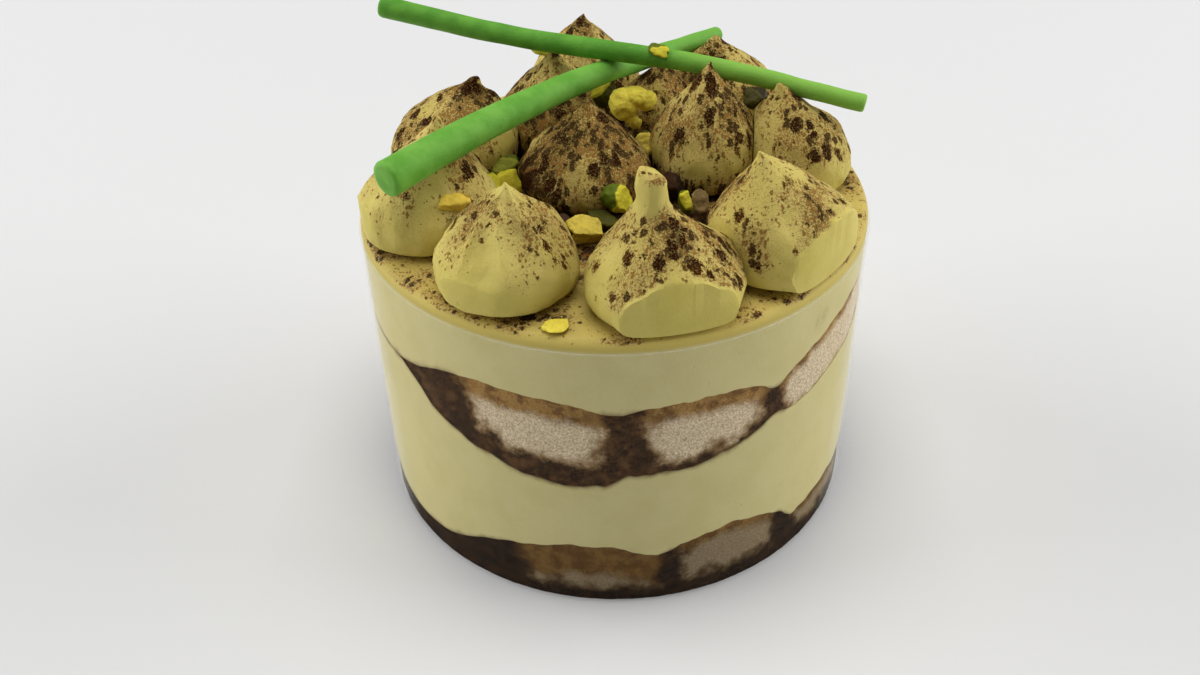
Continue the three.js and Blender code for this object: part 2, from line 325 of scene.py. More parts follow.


# Pistachio cream: matt, faintly mottled, with tiny pits that are painted darker as shade.
cream = {
    "colour": srgb(212, 196, 110),
    "deep": srgb(195, 180, 87),
    # the top of the layer: its own saturated colour, made darker as painted shade
    "rim": srgb(204, 184, 98),
    # the wall colours are paler: partly cream pressed on the film, partly painted sheen of the film
    "wallColour": srgb(213, 202, 144),
    "wallDeep": srgb(204, 192, 130),
    "stain": srgb(120, 94, 52),
    "mottleScale": 130,
    "fineScale": 2300,
    "pitScale": 420,
    "dustLine": (56.8, 57.8),  # the cocoa on the layer starts between these heights
    "rimLine": (55.7, 56.4),  # and the colour of its top, partly painted shade, between these
    "hollow": (27, 36),  # from the thick cocoa and painted shade in the middle to the thin cocoa on the rim
    "kissFinish": {
        "Specular IOR Level": 0.06,
        "Subsurface Weight": 0.12,
        "Subsurface Radius": (1.0, 0.8, 0.35),
        "Subsurface Scale": 0.0015,
    },
    "wallFinish": {"Roughness": 0.55, "Specular IOR Level": 0.14},
}


def makeCreamGroup():
    tree, w, given, out = newGroup(
        "creamSurface", {"Color": white, "Deep": white}, {"Color": white, "Height": 0.0}
    )
    place = w.here()
    mottle = w.noise(place, cream["mottleScale"], 4.0, 0.6)
    fine = w.noise(place, cream["fineScale"], 3.0, 0.6)
    distance, luck = w.cells(place, cream["pitScale"])
    pit = w.times(w.ramp(distance, 0.16, 0.05), w.ramp(w.redOf(luck), 0.82, 0.86))
    # The pits are painted darker: painted shade in the pits.
    tone = w.plus(w.ramp(mottle, 0.35, 0.7, 0.0, 0.55), w.times(pit, 0.6), clamp=True)
    w.feed(out["Color"], w.blend(tone, given["Color"], given["Deep"]))
    low = w.minus(w.times(fine, 0.35), w.times(pit, 0.5))
    w.feed(out["Height"], w.plus(low, w.times(mottle, 0.9)))
    return tree


creamGroup = makeCreamGroup()


def makeKissMaterial():
    material, w, sockets = newMaterial("pipedCream", cream["kissFinish"])
    surface = w.group(creamGroup, Color=cream["colour"], Deep=cream["deep"])
    dusted = w.group(cocoaGroup, Color=surface["Color"], Amount=w.share("dust"))
    w.feed(sockets["Base Color"], dusted["Color"])
    w.feed(sockets["Roughness"], w.ramp(dusted["Cover"], 0.0, 1.0, 0.6, 0.92))
    height = w.plus(surface["Height"], w.times(dusted["Cover"], cocoa["relief"]))
    w.feed(sockets["Normal"], w.bump(height, 0.7, 0.3))
    return material


def makeLayerMaterial():
    material, w, sockets = newMaterial("layeredCream", cream["wallFinish"])
    surface = w.group(creamGroup, Color=cream["wallColour"], Deep=cream["wallDeep"])
    height = w.times(w.part("Z"), 1 / mm)
    flat = w.add("ShaderNodeVectorMath", {0: w.stretch(w.here(), (1, 1, 0))}, operation="LENGTH")
    # More cocoa towards the middle: thick cocoa and painted shade between the kisses.
    centre = w.ramp(w.times(flat.outputs["Value"], 1 / mm), *cream["hollow"], 2.6, 0.8)
    uneven = w.ramp(w.noise(w.here(), 95.0), 0.40, 0.62, 0.45, 1.3)
    amount = w.times(w.ramp(height, *cream["dustLine"]), w.times(centre, uneven))
    wander = w.minus(w.noise(w.here(), 420.0, 3.0, 0.6), 0.5)
    stain = w.ramp(w.plus(w.share("stain"), w.times(wander, 0.9)), 0.3, 1.15, 0.0, 0.8)
    wall = w.blend(stain, surface["Color"], cream["stain"])
    # The top of the layer takes the rim colour, which is partly painted shade.
    topTone = w.blend(w.ramp(height, *cream["rimLine"]), wall, cream["rim"])
    dusted = w.group(cocoaGroup, Color=topTone, Amount=amount)
    w.feed(sockets["Base Color"], dusted["Color"])
    raised = w.plus(surface["Height"], w.times(dusted["Cover"], cocoa["relief"]))
    w.feed(sockets["Normal"], w.bump(raised, 0.5, 0.22))
    return material


# Piped kisses. Places, sizes and leans are in millimetres. Hollow draws the flank in under the
# tip, or rounds it out where it is below nothing. Heaps are places with more or less cocoa:
# X, Y, width and how much more.
kisses = [
    {
        "node": "kiss_front_left", "at": (-17.3, -28.8), "radius": 11.9, "height": 18.4, "lean": (0.6, 0),
        "cone": 18.2, "tip": 0.4, "dust": 0.9, "flutes": 1.9,
        "heaps": [
            (-1, -10.5, 4.5, -0.6), (6.5, -8, 4.5, -0.5), (-7, -8, 4.5, -0.3), (7, -2, 4.5, -0.2),
            (-4.5, -3.4, 3.4, 0.5), (3, -4.4, 2.6, 0.55), (0.4, 0, 1.6, -0.7),
        ],
    },
    {
        "node": "kiss_front", "at": (7.6, -34), "radius": 13, "height": 22.8, "lean": (-2.1, 0),
        "upright": 0.75, "curl": 3, "cone": 19.6, "tip": 2.35, "hollow": 0.15, "blunt": 0.85, "ear": 0.32,
        "dust": 0.75, "flutes": 0.2,
        "heaps": [(0, -2.6, 2.2, 0.6), (2.2, -6.2, 2.2, 0.7), (6, 0, 4.5, 0.5), (-7, -3, 5, -0.15)],
    },
    {
        "node": "kiss_front_right", "at": (28, -22.6), "radius": 13, "height": 19.8, "lean": (-5.4, 0),
        "cone": 19.6, "tip": 0.5, "dust": 0.92, "flutes": 0.15,
        "heaps": [(4.5, -5.5, 2.6, 0.5), (-8, -1, 4, 0.35), (0, -8, 4, -0.2)],
    },
    {
        "node": "kiss_right", "at": (32.6, 3.4), "radius": 10.2, "height": 18.6, "lean": (-4, -0.4),
        "hollow": -0.14, "cone": 18.3, "tip": 0.6, "dust": 0.82, "flutes": 0.3,
        "heaps": [(3.6, -6.6, 1.6, 0.7)],
    },
    {
        "node": "kiss_back_right", "at": (20.8, 28.5), "radius": 11.4, "height": 16.4, "lean": (-0.6, 0),
        "hollow": -0.14, "cone": 16.2, "tip": 0.5, "dust": 1.2, "flutes": 0.5,
    },
    {
        "node": "kiss_back", "at": (-5.5, 34.5), "radius": 10.9, "height": 18.5, "lean": (0, 0),
        "hollow": -0.1, "cone": 18.3, "tip": 0.4, "dust": 1.15, "flutes": 0.4,
    },
    {
        "node": "kiss_back_left", "at": (-29, 11), "radius": 12.2, "height": 17, "lean": (4.5, 0),
        "hollow": -0.15, "cone": 16.4, "tip": 1.1, "dust": 1.15, "flutes": 0.5, "heaps": [(4, 0, 4, 0.5)],
    },
    {
        "node": "kiss_left", "at": (-31.8, -11.5), "radius": 12.4, "height": 20.5, "lean": (3.6, 0),
        "hollow": 0.06, "cone": 20.2, "tip": 0.5, "dust": 0.68, "flutes": 0.2,
        "heaps": [(6, 2, 4.5, 0.7), (-6, -5, 4, -0.3)],
    },
    {
        "node": "kiss_inner_front", "at": (-4.8, 0), "radius": 11.9, "height": 17.5, "lean": (0.6, 0),
        "cone": 17, "tip": 0.8, "dust": 1.35, "flutes": 0.6,
    },
    {
        "node": "kiss_inner_right", "at": (16.6, 4.6), "radius": 10.4, "height": 22.1, "lean": (-0.2, -0.8),
        "cone": 21.9, "tip": 0.4, "dust": 1.3, "flutes": 0.4,
    },
    {
        "node": "kiss_inner_back", "at": (8.5, 19.3), "radius": 9.6, "height": 16, "lean": (1, 0),
        "cone": 15.8, "tip": 0.5, "dust": 1.4, "flutes": 0.5,
    },
    {
        "node": "kiss_inner_left", "at": (-11.5, 18.5), "radius": 10.2, "height": 18.6, "lean": (1.4, 0),
        "hollow": -0.14, "cone": 18.2, "tip": 0.6, "dust": 1.5, "flutes": 0.6,
    },
]
kissForm = {
    "around": 56,
    "profile": [
        (0, 0.84), (0.08, 0.95), (0.2, 1), (0.33, 0.955), (0.46, 0.84),
        (0.6, 0.65), (0.73, 0.45), (0.85, 0.25), (0.93, 0.12),
    ],
    "hollow": (0.22, 0.64),  # shares of the height between which the flank is drawn in
    "neck": 0.975,
    "blunt": 0.45,
    "fluteCount": 9,
    "fluteDepth": 0.1,
    "footSpread": 0.18,
    "dents": [(6.5, 0.8, 0), (2.4, 0.34, 4), (1.0, 0.1, 9)],  # size, depth and seed
    "trim": 0.3,  # how far inside the wall a kiss on the rim ends
    "gap": 0.1,
    # cocoa added low in the hollows among the kisses: thick cocoa and painted shade
    "hollowCocoaAndShade": 1.7,
}


def axisOf(kiss, share):
    # The middle of a kiss at a share of its height. It leans more towards the tip.
    bend = min(share / kiss.get("upright", 1), 1) ** kiss.get("curl", 2)
    return Vector((kiss["at"][0] + kiss["lean"][0] * bend, kiss["at"][1] + kiss["lean"][1] * bend, 0))


def reachOf(kiss):
    return math.hypot(*kiss["at"]) + kiss["radius"]


def pipeKiss(kiss):
    # A circle at the foot is drawn up ring by ring along the profile, and closed at the tip.
    foot = cake["top"] + kissForm["gap"]
    rings = []
    for up, share in kissForm["profile"]:
        drawn = 1 - kiss.get("hollow", 0) * smoothStep(*kissForm["hollow"], up)
        rings.append((up * kiss["cone"], max(share * drawn * kiss["radius"], kiss["tip"])))
    rings.append((kiss["height"] * kissForm["neck"], kiss["tip"]))
    rings.append((kiss["height"], kiss["tip"] * kiss.get("blunt", kissForm["blunt"])))
    x, y = kiss["at"]
    deselectAll()
    bpy.ops.mesh.primitive_circle_add(
        vertices=kissForm["around"], radius=rings[0][1] * mm, location=(x * mm, y * mm, foot * mm)
    )
    piece = bpy.context.object
    settleInPlace(piece)
    editAll(piece)
    bpy.ops.mesh.edge_face_add()
    centre = Vector((x, y, foot))
    for (lowUp, lowWide), (up, wide) in zip(rings, rings[1:]):
        step = axisOf(kiss, up / kiss["height"]) + Vector((0, 0, foot + up)) - centre
        centre += step
        bpy.ops.mesh.extrude_region_move(TRANSFORM_OT_translate={"value": step * mm})
        ratio = wide / lowWide
        bpy.ops.transform.resize(value=(ratio, ratio, 1), center_override=centre * mm)
    leaveEditing()
    applyModifier(piece, "SUBSURF", levels=2, render_levels=2)
    return piece


def fluteKiss(piece, kiss, seed):
    # Soft flutes from the nozzle show towards the tip, and the whole surface is a little uneven.
    foot = cake["top"] * mm
    outward = Vector(kiss["at"]).normalized()
    onRim = reachOf(kiss) > cake["radius"] + 1.5

    def place(point):
        share = max((point.z - foot) / (kiss["height"] * mm), 0)
        axis = axisOf(kiss, share) * mm
        around = math.atan2(point.y - axis.y, point.x - axis.x)
        wave = 0.5 - abs(math.sin(kissForm["fluteCount"] / 2 * around + seed + 1.2 * share))
        fade = smoothStep(0.3, 0.75, share) * (1 - smoothStep(0.88, 1, share))
        factor = 1 + kissForm["fluteDepth"] * kiss["flutes"] * fade * wave
        if share > 0.9:
            point.z -= kiss.get("ear", 0) * (point.x - axis.x) * smoothStep(0.9, 1, share)
        facing = Vector((point.x - axis.x, point.y - axis.y)).normalized().dot(outward) if onRim else 0
        low = 1 - smoothStep(0.0, 0.2, share)
        factor += kissForm["footSpread"] * smoothStep(0.55, 0.9, facing) * low
        point.x = axis.x + (point.x - axis.x) * factor
        point.y = axis.y + (point.y - axis.y) * factor
        dents = [cloudShift(point, size, depth, seed + more) for size, depth, more in kissForm["dents"]]
        shift = sum(dents, Vector())
        shift.z *= 0.4
        return point + shift * smoothStep(0.0, 0.12, share)

    moveVertices(piece, place)


def pressNeighbours(piece, kiss):
    # Where two kisses touch, each is cut back to the upright plane between them.
    x, y = kiss["at"]
    for other in kisses:
        away = Vector((other["at"][0] - x, other["at"][1] - y, 0))
        apart = away.length
        if other is kiss or apart > (kiss["radius"] + other["radius"]) * 1.05:
            continue
        share = (apart**2 + kiss["radius"] ** 2 - other["radius"] ** 2) / (2 * apart) - kissForm["gap"]
        middle = Vector((x, y, cake["top"])) + away.normalized() * share
        sliceOff(piece, middle * mm, away.normalized(), 0.000001)


def makeRingTool():
    # A drum as wide as the cake, which keeps what lies inside the wall.
    deselectAll()
    bpy.ops.mesh.primitive_cylinder_add(
        vertices=256,
        radius=(cake["radius"] - kissForm["trim"]) * mm,
        depth=40 * mm,
        location=(0, 0, (cake["top"] + 18) * mm),
    )
    tool = bpy.context.object
    settleInPlace(tool)
    return tool


def makeKisses(material, tools):
    ring = makeRingTool()
    rim = (cake["radius"] - kissForm["trim"] - 0.12) * mm
    for index, kiss in enumerate(kisses):
        piece = pipeKiss(kiss)
        fluteKiss(piece, kiss, index * 1.7)
        pressNeighbours(piece, kiss)
        if reachOf(kiss) > cake["radius"] - 1:
            cutBy(piece, ring, "INTERSECT")
        for tool in tools:
            cutBy(piece, tool)

        def dust(point, normal, kiss=kiss):
            onRim = smoothStep(rim, rim - 0.4 * mm, math.hypot(point.x, point.y))
            amount = kiss["dust"]
            for x, y, wide, more in kiss.get("heaps", []):
                away = math.hypot(point.x / mm - kiss["at"][0] - x, point.y / mm - kiss["at"][1] - y)
                amount += more * math.exp(-((away / wide) ** 2))
            # Low down in the middle, among the kisses, more cocoa is added, partly as painted shade in the
            # hollows.
            hollow = smoothStep(31, 23, math.hypot(point.x, point.y) / mm)
            hollow *= smoothStep(8, 1, point.z / mm - cake["top"])
            upwards = smoothStep(-0.2, 0.6, normal.z)
            return max(amount, 0) * onRim * upwards + kissForm["hollowCocoaAndShade"] * hollow

        storeShare(piece, "dust", dust)
        finishPiece(piece, kiss["node"] + "_piped", [kiss["node"]], material, 50)
    dropTool(ring)


# Two sticks of green sugar paste, rolled by hand. Line points and radii are in millimetres,
# and the tones are dark, light and that of the right end. On the thin stick the right end is lighter:
# painted light.
sticks = [
    {
        "node": "stick_thin",
        "line": [
            (-42.6, 27.4, 81.6), (-15.6, 19.2, 78.5), (0.4, 14.3, 78), (14.9, 10.1, 77.3), (43.6, 1.6, 73.3),
        ],
        "radius": (1.95, 1.55),
        "tones": (srgb(84, 147, 42), srgb(104, 167, 56), srgb(138, 188, 76)),
    },
    {
        "node": "stick_thick",
        "line": [
            (-35.4, -24.6, 74.7), (-21.9, -9.5, 75.6), (-4.6, 10, 74.8), (6.5, 22.5, 72.8), (21, 38.6, 70.4),
        ],
        "radius": (3, 1.5),
        "tones": (srgb(96, 160, 52), srgb(118, 178, 70), srgb(112, 172, 66)),
    },
]
stickForm = {
    "around": 40,
    "steps": 70,
    "uneven": 0.12,
    "round": 0.55,
    "endWidth": 0.72,
    "edgeWidth": 0.92,
    "sugar": srgb(150, 205, 104),
    "finish": {
        "Specular IOR Level": 0.2,
        "Subsurface Weight": 0.3,
        "Subsurface Radius": (0.6, 1.0, 0.35),
        "Subsurface Scale": 0.002,
    },
}


def lineCurve(points):
    curve = bpy.data.curves.new("stickLine", "CURVE")
    curve.dimensions = "3D"
    curve.resolution_u = 24
    spline = curve.splines.new("BEZIER")
    spline.bezier_points.add(len(points) - 1)
    for point, place in zip(spline.bezier_points, points):
        point.co = Vector(place) * mm
        point.handle_left_type = "AUTO"
        point.handle_right_type = "AUTO"
    line = bpy.data.objects.new("stickLine", curve)
    bpy.context.scene.collection.objects.link(line)
    bpy.context.view_layer.update()
    return line, spline.calc_length()


def rollStick(spec, grow=0.0):
    # A straight rod is drawn out along X ring by ring, then bent to its line.
    line, length = lineCurve(spec["line"])
    steps = stickForm["steps"]
    endWidth, edgeWidth = stickForm["endWidth"], stickForm["edgeWidth"]
    first, last = (radius + grow for radius in spec["radius"])
    deselectAll()
    bpy.ops.mesh.primitive_circle_add(
        vertices=stickForm["around"],
        radius=first * mm * endWidth,
        fill_type="NGON",
        rotation=(0, math.pi / 2, 0),
    )
    rod = bpy.context.object
    settleInPlace(rod)
    editAll(rod)
    edge = stickForm["round"] * mm
    stations = [edge * 0.25, edge] + [edge + (length - 2 * edge) * i / steps for i in range(1, steps + 1)]
    stations += [length - edge * 0.25, length]
    before, wide = 0.0, first * endWidth
    for index, station in enumerate(stations):
        full = first + (last - first) * station / length
        rounding = {0: edgeWidth, len(stations) - 2: edgeWidth, len(stations) - 1: endWidth}.get(index, 1.0)
        bpy.ops.mesh.extrude_region_move(TRANSFORM_OT_translate={"value": (station - before, 0, 0)})
        ratio = full * rounding / wide
        bpy.ops.transform.resize(value=(1, ratio, ratio), center_override=(station, 0, 0))
        before, wide = station, full * rounding
    turnOutwards(rod)
    applyModifier(rod, "CURVE", object=line, deform_axis="POS_X")
    dropTool(line)
    return rod


def makeStickMaterial(name, dark, light, right):
    material, w, sockets = newMaterial(name, stickForm["finish"])
    place = w.here()
    tone = w.ramp(w.noise(place, 260.0, 3.0), 0.3, 0.7)
    grain = w.noise(place, 3000.0, 3.0, 0.65)
    # Towards the right end the colour goes to the right-end tone, which on the thin stick is painted light.
    colour = w.blend(w.ramp(w.part("X"), 0.004, 0.022, 0.0, 0.85), w.blend(tone, dark, light), right)
    speck = w.ramp(grain, 0.62, 0.72, 0.0, 0.35)
    w.feed(sockets["Base Color"], w.blend(speck, colour, stickForm["sugar"]))
    w.feed(sockets["Roughness"], w.ramp(grain, 0.3, 0.7, 0.5, 0.7))
    height = w.plus(grain, w.times(w.noise(place, 700.0), 1.2))
    w.feed(sockets["Normal"], w.bump(height, 0.4, 0.2))
    return material


def makeSticks():
    for index, spec in enumerate(sticks):
        material = makeStickMaterial(spec["node"] + "Paste", *spec["tones"])
        rod = rollStick(spec)

        def place(point, seed=index * 3.3):
            return point + cloudShift(point, 5.0, stickForm["uneven"], seed)

        moveVertices(rod, place)
        finishPiece(rod, spec["node"] + "_rolled", [spec["node"]], material, 50)


# Sponge fingers, in two layers that run in two directions. Each section is an oval about its
# waist, cut off flat at left and right. Wet says how far the coffee has come in from the left,
# the right and below, and crust how deep the baked top is.
baseTurn = 35
middleTurn = 17
fingers = [
    {
        "node": "sponge_base_left", "turn": baseTurn, "across": -30, "half": 14.8,
        "left": -46, "right": -18.4, "waist": 3, "rise": 10.6, "square": 1.9,
        "wet": (9, 1.6, 3.2), "crust": 7.5,
    },
    {
        "node": "sponge_base_middle", "turn": baseTurn, "across": -8, "half": 16.5,
        "left": -18.4, "right": 6.7, "waist": 3, "rise": 11.4, "square": 2.1,
        "wet": (4.6, 4.2, 4.2), "crust": 2.4,
    },
    {
        "node": "sponge_base_right", "turn": baseTurn, "across": 20, "half": 16, "left": 6.7, "right": 32,
        "waist": 3, "rise": 6.2, "square": 2.4, "wet": (4, 5, 3.4), "crust": 2.2,
    },
    {
        "node": "sponge_base_end", "turn": baseTurn, "across": 40, "half": 12, "left": 32, "right": 46,
        "waist": 3, "rise": 6.6, "square": 2.2, "wet": (3, 4, 3.6), "crust": 1.6,
    },
    {
        "node": "sponge_middle_left", "turn": middleTurn, "across": -23, "half": 18.5,
        "left": -46, "right": -13.4, "waist": 38.34, "rise": 7.4, "drop": 10.2, "square": 2, "tilt": -0.14,
        "wet": (10, 2.8, 4.8), "crust": 4,
    },
    {
        "node": "sponge_middle_front", "turn": middleTurn, "across": -2, "half": 16.8,
        "left": -13.4, "right": 14.6, "waist": 38, "rise": 7, "drop": 7.2, "square": 2.4, "tilt": 0.05,
        "belly": -0.22, "wet": (7.8, 2.8, 2), "crust": 3.4,
    },
    {
        "node": "sponge_middle_right", "turn": middleTurn, "across": 29, "half": 16,
        "left": 14.6, "right": 46, "waist": 43.2, "rise": 5.3, "drop": 5.3, "square": 2.6, "tilt": 0.29,
        "wet": (2.6, 1.5, -1), "crust": 2,
    },
]
fingerForm = {
    "columns": 110,
    "rows": 56,
    "reach": 46,  # how far to either side the heights are worked out
    "step": 0.25,
    "blur": 7,
    "uneven": 0.55,
    "thinnest": 0.1,
    "pores": [(0.9, 0.07), (2.6, 0.08)],  # size and depth
    "poreFloor": 0.1,
}


def sectionHeights(spec, across):
    # The underside and top of a finger's section at one place across it.
    side = min(max((across - spec["across"]) / spec["half"], -1), 1)
    height = max(1 - abs(side) ** spec["square"], 0.0) ** (1 / spec["square"])
    waist = spec["waist"] + spec.get("tilt", 0) * spec["half"] * side
    low = waist - height * spec["drop"] * (1 + spec.get("belly", 0) * side) if "drop" in spec else 0.0
    return low, waist + height * spec["rise"]


def fingerAt(turn, across):
    row = [spec for spec in fingers if spec["turn"] == turn]
    return next((spec for spec in row if across < spec["right"]), row[-1])


def layerTable(turn, seed):
    # Underside and top of a whole layer of fingers, evened out where two fingers meet.
    step, blur = fingerForm["step"], fingerForm["blur"]
    count = int(2 * fingerForm["reach"] / step) + 1
    raw = []
    for index in range(count):
        across = index * step - fingerForm["reach"]
        raw.append(sectionHeights(fingerAt(turn, across), across))
    table = []
    for index in range(count):
        near = raw[max(index - blur, 0):index + blur + 1]
        across = index * step
        both = []
        for side in (0, 1):
            wave = noise.noise(Vector((across / 3.4, seed, side * 9)))
            wave += 0.45 * noise.noise(Vector((across / 1.2, seed, side * 9)))
            both.append(sum(pair[side] for pair in near) / len(near) + fingerForm["uneven"] * wave)
        if turn == baseTurn:
            both[0] = 0.0
        middle = (both[0] + both[1]) / 2
        least = fingerForm["thinnest"] / 2
        table.append((min(both[0], middle - least), max(both[1], middle + least)))
    return table


tables = {baseTurn: layerTable(baseTurn, 1.5), middleTurn: layerTable(middleTurn, 7.5)}


def layerAt(turn, across):
    table = tables[turn]
    spot = min(max((across + fingerForm["reach"]) / fingerForm["step"], 0), len(table) - 1.001)
    index = int(spot)
    share = spot - index
    return tuple(table[index][side] * (1 - share) + table[index + 1][side] * share for side in (0, 1))


def acrossOf(turn, x, y):
    # How far across the fingers of a layer a place lies.
    return x * math.cos(math.radians(turn)) + y * math.sin(math.radians(turn))


def wetDepth(spec, across, low, height):
    # How deep a place lies in the part that the coffee has reached, in millimetres.
    leftEnd = max(spec["left"], spec["across"] - spec["half"])
    rightEnd = min(spec["right"], spec["across"] + spec["half"])
    raised = height - low
    wetLeft, wetRight, wetLow = spec["wet"]
    return max(wetLeft - (across - leftEnd) - 0.25 * raised, wetRight - (rightEnd - across), wetLow - raised)


def cutFinger(spec):
    # A fine grid is the section. It is extruded through the cake and both ends follow the wall.
    reach = cake["radius"] - cake["skin"]
    left = max(spec["left"], -reach + 0.05)
    right = min(spec["right"], reach - 0.05)
    deselectAll()
    bpy.ops.mesh.primitive_grid_add(
        x_subdivisions=fingerForm["columns"], y_subdivisions=fingerForm["rows"], size=2
    )
    piece = bpy.context.object
    editAll(piece)
    bpy.ops.mesh.extrude_region_move(TRANSFORM_OT_translate={"value": (0, 0, 1)})
    leaveEditing()
    wet = piece.data.attributes.new("wet", "FLOAT", "POINT")
    crust = piece.data.attributes.new("crust", "FLOAT", "POINT")
    turn = Matrix.Rotation(math.radians(spec["turn"]), 3, "Z")
    for index, vertex in enumerate(piece.data.vertices):
        across = left + (right - left) * (vertex.co.x + 1) / 2
        low, high = layerAt(spec["turn"], across)
        height = low + (high - low) * (vertex.co.y + 1) / 2
        wet.data[index].value = wetDepth(spec, across, low, height)
        crust.data[index].value = spec["crust"] - (high - height)
        grown = cake["overlap"] * vertex.co.y
        end = 1 if vertex.co.z > 0.5 else -1
        along = end * math.sqrt(max(reach**2 - across**2, 0))
        point = turn @ Vector((across, along, max(height + grown, 0))) * mm
        pore = sum(noise.noise(point / (size * mm)) * depth for size, depth in fingerForm["pores"])
        pore -= fingerForm["poreFloor"]
        vertex.co = point + Vector((point.x, point.y, 0)).normalized() * pore * mm
    turnOutwards(piece)
    return piece


# Colours of the dry crumb, the baked top, the edge of the coffee and the soaked parts, each with a darker
# copy that is painted shade low down.
sponge = {
    "crumb": (srgb(192, 167, 130), srgb(246, 230, 198)),
    "pore": srgb(156, 126, 88),
    "crumbShaded": srgb(108, 88, 56),
    "crust": (srgb(118, 80, 34), srgb(176, 134, 70)),
    "crustFleck": srgb(84, 56, 24),
    "crustShaded": srgb(84, 58, 26),
    "edge": (srgb(140, 106, 62), srgb(78, 56, 30)),
    "soak": (srgb(36, 19, 8), srgb(92, 63, 36)),
    "soakFleck": srgb(112, 82, 50),
    "soakShaded": srgb(20, 10, 4),
    "shadeLine": (0.018, 0.011),  # below these heights all is darker: painted shade low on the cake
    "wanderScale": 240,
    "blotchScale": 420,
    "fineScale": 3000,
    "poreScale": 1500,
    "finish": {"Specular IOR Level": 0.05},
}


def makeSpongeMaterial():
    material, w, sockets = newMaterial("soakedSponge", sponge["finish"])
    place = w.here()
    wander = w.minus(w.noise(place, sponge["wanderScale"], 4.0, 0.62), 0.5)
    fine = w.noise(place, sponge["fineScale"], 4.0, 0.7)
    blotch = w.noise(place, sponge["blotchScale"], 3.0, 0.6)
    pores = w.cells(place, sponge["poreScale"])[0]
    # Painted shade: below the shade line the crumb, crust, edge and soak go to their darker copies.
    low = w.ramp(w.part("Z"), *sponge["shadeLine"])
    crumb = w.blend(w.ramp(fine, 0.34, 0.66), *sponge["crumb"])
    # The pores are painted darker: painted shade in the pores.
    crumb = w.blend(w.ramp(pores, 0.26, 0.06, 0.0, 0.4), crumb, sponge["pore"])
    crumb = w.blend(w.times(low, 0.75), crumb, sponge["crumbShaded"])
    crust = w.blend(w.ramp(blotch, 0.36, 0.62), *sponge["crust"])
    crust = w.blend(w.ramp(fine, 0.36, 0.56, 0.45, 0.0), crust, sponge["crustFleck"])
    crust = w.blend(w.times(low, 0.6), crust, sponge["crustShaded"])
    inCrust = w.plus(w.share("crust"), w.times(wander, 5.0))
    baked = w.blend(w.ramp(inCrust, -1.4, 1.4, 0.0, 0.95), crumb, crust)
    inWet = w.plus(w.share("wet"), w.times(wander, 8.0))
    edge = w.blend(w.ramp(inWet, -1.8, 0.5, 0.0, 0.85), baked, w.blend(low, *sponge["edge"]))
    soak = w.blend(w.ramp(blotch, 0.4, 0.68), *sponge["soak"])
    soak = w.blend(w.ramp(fine, 0.44, 0.7, 0.0, 0.5), soak, sponge["soakFleck"])
    soak = w.blend(w.times(low, 0.7), soak, sponge["soakShaded"])
    wet = w.ramp(inWet, -0.3, 1.5)
    w.feed(sockets["Base Color"], w.blend(w.times(wet, 0.97), edge, soak))
    w.feed(sockets["Roughness"], w.ramp(wet, 0.0, 1.0, 0.95, 0.75))
    w.feed(sockets["Normal"], w.bump(w.minus(fine, w.ramp(pores, 0.3, 0.05)), 0.6, 0.3))
    return material


def makeSponge(material):
    for spec in fingers:
        piece = cutFinger(spec)
        finishPiece(piece, spec["node"] + "_cut", [spec["node"]], material, 60)


# The two layers of cream. Each lies between the fingers below it and the fingers above it.
layers = {
    "around": 640,
    "rings": 60,
    "capShare": 0.27,
    "shoulder": 1.6,
    "stainReach": 1.1,
    "smears": [  # azimuth, height, half width, half height and strength
        (-42, 51, 3.2, 3.5, 0.55), (-131, 52, 2, 3, 0.4), (-122, 49, 4, 0.8, 0.35), (-24, 38, 5, 2.5, 0.5),
    ],
}


def faceOf(turn, side):
    # The height of a layer of fingers over any place: of its underside (0) or its top (1).
    return lambda x, y: layerAt(turn, acrossOf(turn, x, y))[side]


def stainAt(turn, x, y, low):
    # How wet the sponge is that touches the cream at this place.
    across = acrossOf(turn, x, y)
    under, over = layerAt(turn, across)
    return smoothStep(-1.5, 1.5, wetDepth(fingerAt(turn, across), across, under, under if low else over))


def smearAt(around, height):
    # Coffee and cocoa that were wiped along the face of the cream.
    depth = 0.0
    for azimuth, up, wide, tall, strength in layers["smears"]:
        side = (math.degrees(around) - azimuth) / wide
        depth += strength * math.exp(-(side**2) - ((height - up) / tall) ** 2)
    return depth


